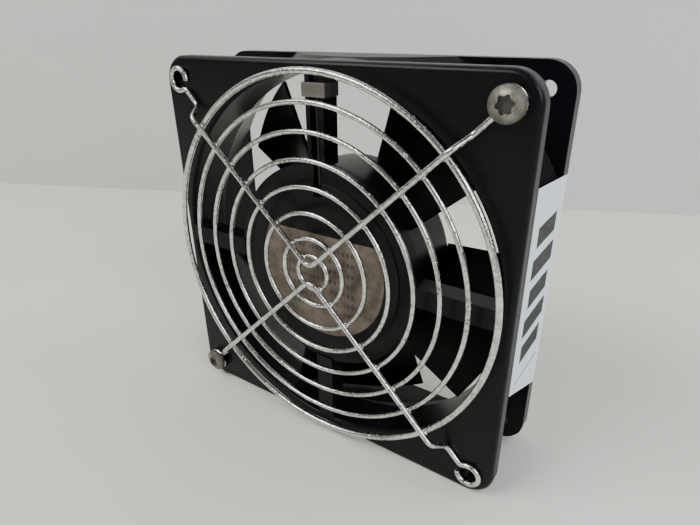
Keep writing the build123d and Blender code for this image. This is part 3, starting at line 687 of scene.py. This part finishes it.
def screw_skin(x, z, start):
    """A whole screw, from the middle of its recess over the head and down to the tip."""
    rows = []

    def row(radius_at, y_mm_at):
        ring = []
        for k in range(SCREW_SIDES):
            turn = 2 * pi * k / SCREW_SIDES
            r_mm = radius_at(turn)
            place = Vector((cos(turn + start) * r_mm, y_mm_at(r_mm), sin(turn + start) * r_mm)) * MM
            ring.append(Vector((x, head_top, z)) + place)
        rows.append(ring)

    row(lambda t: 0.15, lambda r_mm: RECESS_MM + 0.1)
    row(lambda t: lobed(t, 0.5) * 0.6, lambda r_mm: RECESS_MM)
    row(lambda t: lobed(t, 1.0) * 0.93, lambda r_mm: RECESS_MM - 0.05)
    row(lambda t: lobed(t, 1.0) * 0.97, lambda r_mm: RECESS_MM - 0.3)
    row(lambda t: lobed(t, 1.0), lambda r_mm: dome_behind(r_mm) + 0.12)
    row(lambda t: lobed(t, 1.0) + 0.1, lambda r_mm: dome_behind(r_mm) + 0.01)
    for i in range(1, 9):
        part = i / 8
        outer = HEAD_R_MM - ROUND_MM
        row(lambda t: (lobed(t, 1.0) + 0.1) * (1 - part) + outer * part, dome_behind)
    edge = dome_behind(HEAD_R_MM - ROUND_MM)
    side = HEAD_R_MM - 0.02
    for i in range(1, 6):
        bend = radians(18 * i)
        row(
            lambda t: side - ROUND_MM * (1 - sin(bend)),
            lambda r_mm: edge + (ROUND_MM + 0.1) * (1 - cos(bend)),
        )
    seat_mm = (head_seat - head_top) / MM - 0.01
    row(lambda t: side, lambda r_mm: seat_mm - 0.12)
    row(lambda t: side - 0.12, lambda r_mm: seat_mm)
    row(lambda t: ROOT_MM + 0.25, lambda r_mm: seat_mm)
    length = (screw_tip - head_top) / MM - seat_mm
    for i in range(ceil(length / THREAD_STEP_MM) + 1):
        down = min(length, THREAD_STEP_MM * i)
        row(lambda t: thread_radius(t, down, length), lambda r_mm: seat_mm + down)
    return skin(rows)


ZINC = dull_zinc("dull_zinc", head_top + dome_behind(HEAD_R_MM) * MM)
screws = [screw_skin(screw_x, screw_z, 0.2), screw_skin(-screw_x, -screw_z, 0.75)]
add_piece("threaded_screws", screws, ZINC, ["guard_screws"], 32)

# %% [markdown]
# The two labels are thin slabs with a little lift at their edges: glue lets go there first. Each
# row of a slab is a loop that runs out over the face and back underneath. The round one has a
# straight cut at its top, so its rows simply stop there.


# %% Thin slabs
def slab(lines, inward, thick_mm, columns, lift):
    """Rows from pairs of end points; inward points to the surface that the slab is glued to."""
    rows = []
    for first, last in lines:
        face, under = [], []
        for k in range(columns + 1):
            spot = first + (last - first) * (k / columns)
            edge = abs(2 * k / columns - 1) ** 8
            dip = ripple(spot, 6, lift) - lift * MM * 0.3 * (1 - edge)
            face.append(spot - inward * dip)
            under.append(spot + inward * thick_mm * MM)
        rows.append(face + under[::-1])
    return skin(rows)


# %% Hub label
low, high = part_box("hub_label")
label_r = (high.x - low.x) / 2
label_middle = Vector(((low.x + high.x) / 2, low.y, low.z + label_r))
lines = []
LABEL_ROWS = 90
for i in range(LABEL_ROWS + 1):
    z = low.z + 0.05 * MM + (high.z - low.z - 0.05 * MM) * i / LABEL_ROWS
    half = sqrt(max(0.0, label_r**2 - (z - label_middle.z) ** 2))
    left = Vector((label_middle.x - half, low.y, z))
    right = Vector((label_middle.x + half, low.y, z))
    lines.append((left, right))
foil = hub_foil("hub_foil", label_middle)
label_skin = slab(lines, Vector((0, 1, 0)), 0.13, 40, 0.05)
add_piece("hub_label_foil", [label_skin], foil, ["hub_label"], 50)

# %% Side sticker
low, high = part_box("side_sticker")
corners = [v.co for v in nodes["side_sticker"].data.vertices]
near = [v.z for v in corners if v.y < low.y + 0.01 * MM]
far = [v.z for v in corners if v.y > high.y - 0.01 * MM]
print("sticker's front edge", round(min(near) / MM, 1), "to", round(max(near) / MM, 1))
lines = []
STICKER_ROWS = 100
for i in range(STICKER_ROWS + 1):
    share = i / STICKER_ROWS
    front_edge = Vector((high.x, low.y, min(near) + (max(near) - min(near)) * share))
    rear_edge = Vector((high.x, high.y, min(far) + (max(far) - min(far)) * share))
    lines.append((front_edge, rear_edge))
paper = printed_paper("block_print", low, high)
sticker_skin = slab(lines, Vector((-1, 0, 0)), 0.14, 40, 0.07)
add_piece("printed_sticker", [sticker_skin], paper, ["side_sticker"], 50)

# %% [markdown]
# The clip is a little U of plastic pressed over the strut. Its outline is drawn once, looking
# along the strut, and pulled to length. Then every edge is rounded a little, as a mould does.

# %% Lead clip
CLIP_WALL_MM = 0.9
CLIP_FRONT_MM = 0.5
TONGUE_HALF_MM = 1.4
TONGUE_MM = 1.9
ROUNDING_MM = 0.22
low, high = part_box("lead_clip")
half = (high.x - low.x) / 2
middle_x = (high.x + low.x) / 2
inner_half = half - CLIP_WALL_MM * MM
floor_y = low.y + CLIP_FRONT_MM * MM
tongue = (TONGUE_HALF_MM * MM, low.y + TONGUE_MM * MM)
outline = [(-half, low.y), (half, low.y), (half, high.y), (inner_half, high.y)]
outline += [(inner_half, floor_y), (tongue[0], floor_y), tongue, (-tongue[0], tongue[1])]
outline += [(-tongue[0], floor_y), (-inner_half, floor_y), (-inner_half, high.y), (-half, high.y)]
rows = [[Vector((middle_x + x, y, z)) for x, y in outline] for z in (low.z, high.z)]
grey = clip_lit_face_shaded_cheeks("clip_lit_face_shaded_cheeks")
clip = add_piece("rounded_clip", [skin(rows)], grey, ["lead_clip"])
shape = bmesh.new()
shape.from_mesh(clip.data)
bmesh.ops.bevel(
    shape,
    geom=shape.edges[:],
    offset=ROUNDING_MM * MM,
    segments=3,
    profile=0.5,
    affect="EDGES",
)
shape.to_mesh(clip.data)
shape.free()
clip.data.polygons.foreach_set("use_smooth", [True] * len(clip.data.polygons))
print("clip", len(clip.data.polygons), "faces")

# %% [markdown]
# The fan stands on a pale table in front of a pale wall. A big soft lamp from the upper left
# draws the long highlights on the wires, a weaker one from the right keeps the side of the
# housing readable, and a small one behind picks out its rear. The world is dim, because shiny
# wire needs dark to mirror as well as light: in an evenly bright room it would look like white
# paint.

# %% Table, wall and lights
def flat_finish(name, tint):
    r = Recipe(name)
    clouds = r.cloud(60, 3)
    return r.set(base_color=r.mix(tint, [c * 0.94 for c in tint], clouds), roughness=0.7)


def stage_sheet(name, corners, finish):
    mesh = bpy.data.meshes.new(name)
    mesh.from_pydata(corners, [], [range(len(corners))])
    mesh.materials.append(finish)
    sheet = bpy.data.objects.new(name, mesh)
    bpy.context.scene.collection.objects.link(sheet)


REACH = 3.0
WALL_AT = Vector((-0.15, 0.173, FLOOR))
WALL_TURN = 23.9
table = flat_finish("table_laminate", (0.72, 0.73, 0.675))
square = [(x * REACH, y * REACH, FLOOR) for x, y in ((-1, -1), (1, -1), (1, 1), (-1, 1))]
stage_sheet("table_top", square, table)
run = Vector((cos(radians(WALL_TURN)), sin(radians(WALL_TURN)), 0)) * REACH
rise = Vector((0, 0, REACH))
plaster = flat_finish("painted_plaster", (0.63, 0.625, 0.605))
foot = [WALL_AT - run, WALL_AT + run]
stage_sheet("wall", foot + [foot[1] + rise, foot[0] + rise], plaster)
print("wall stands", round(WALL_AT.y, 3), "behind the fan's rear face")


def soft_lamp(name, at, size, watts, tint):
    light = bpy.data.lights.new(name, "AREA")
    light.shape = "RECTANGLE"
    light.size, light.size_y = size
    light.energy = watts
    light.color = tint
    lamp = bpy.data.objects.new(name, light)
    lamp.location = at
    lamp.rotation_euler = (-Vector(at)).to_track_quat("-Z", "Y").to_euler()
    bpy.context.scene.collection.objects.link(lamp)


soft_lamp("window_lamp", (-0.55, -0.75, 0.95), (0.8, 0.45), 15.0, (1.0, 0.99, 0.97))
soft_lamp("fill_lamp", (0.9, -0.35, 0.5), (0.5, 0.5), 8.0, (0.95, 0.97, 1.0))
soft_lamp("back_lamp", (0.55, 0.3, 0.6), (0.4, 0.4), 2.5, (1.0, 1.0, 1.0))
world = bpy.data.worlds.new("room")
bpy.context.scene.world = world
world.use_nodes = True
room_light = world.node_tree.nodes["Background"].inputs
room_light["Color"].default_value = (0.80, 0.81, 0.80, 1)
room_light["Strength"].default_value = 0.2
print("stage set")
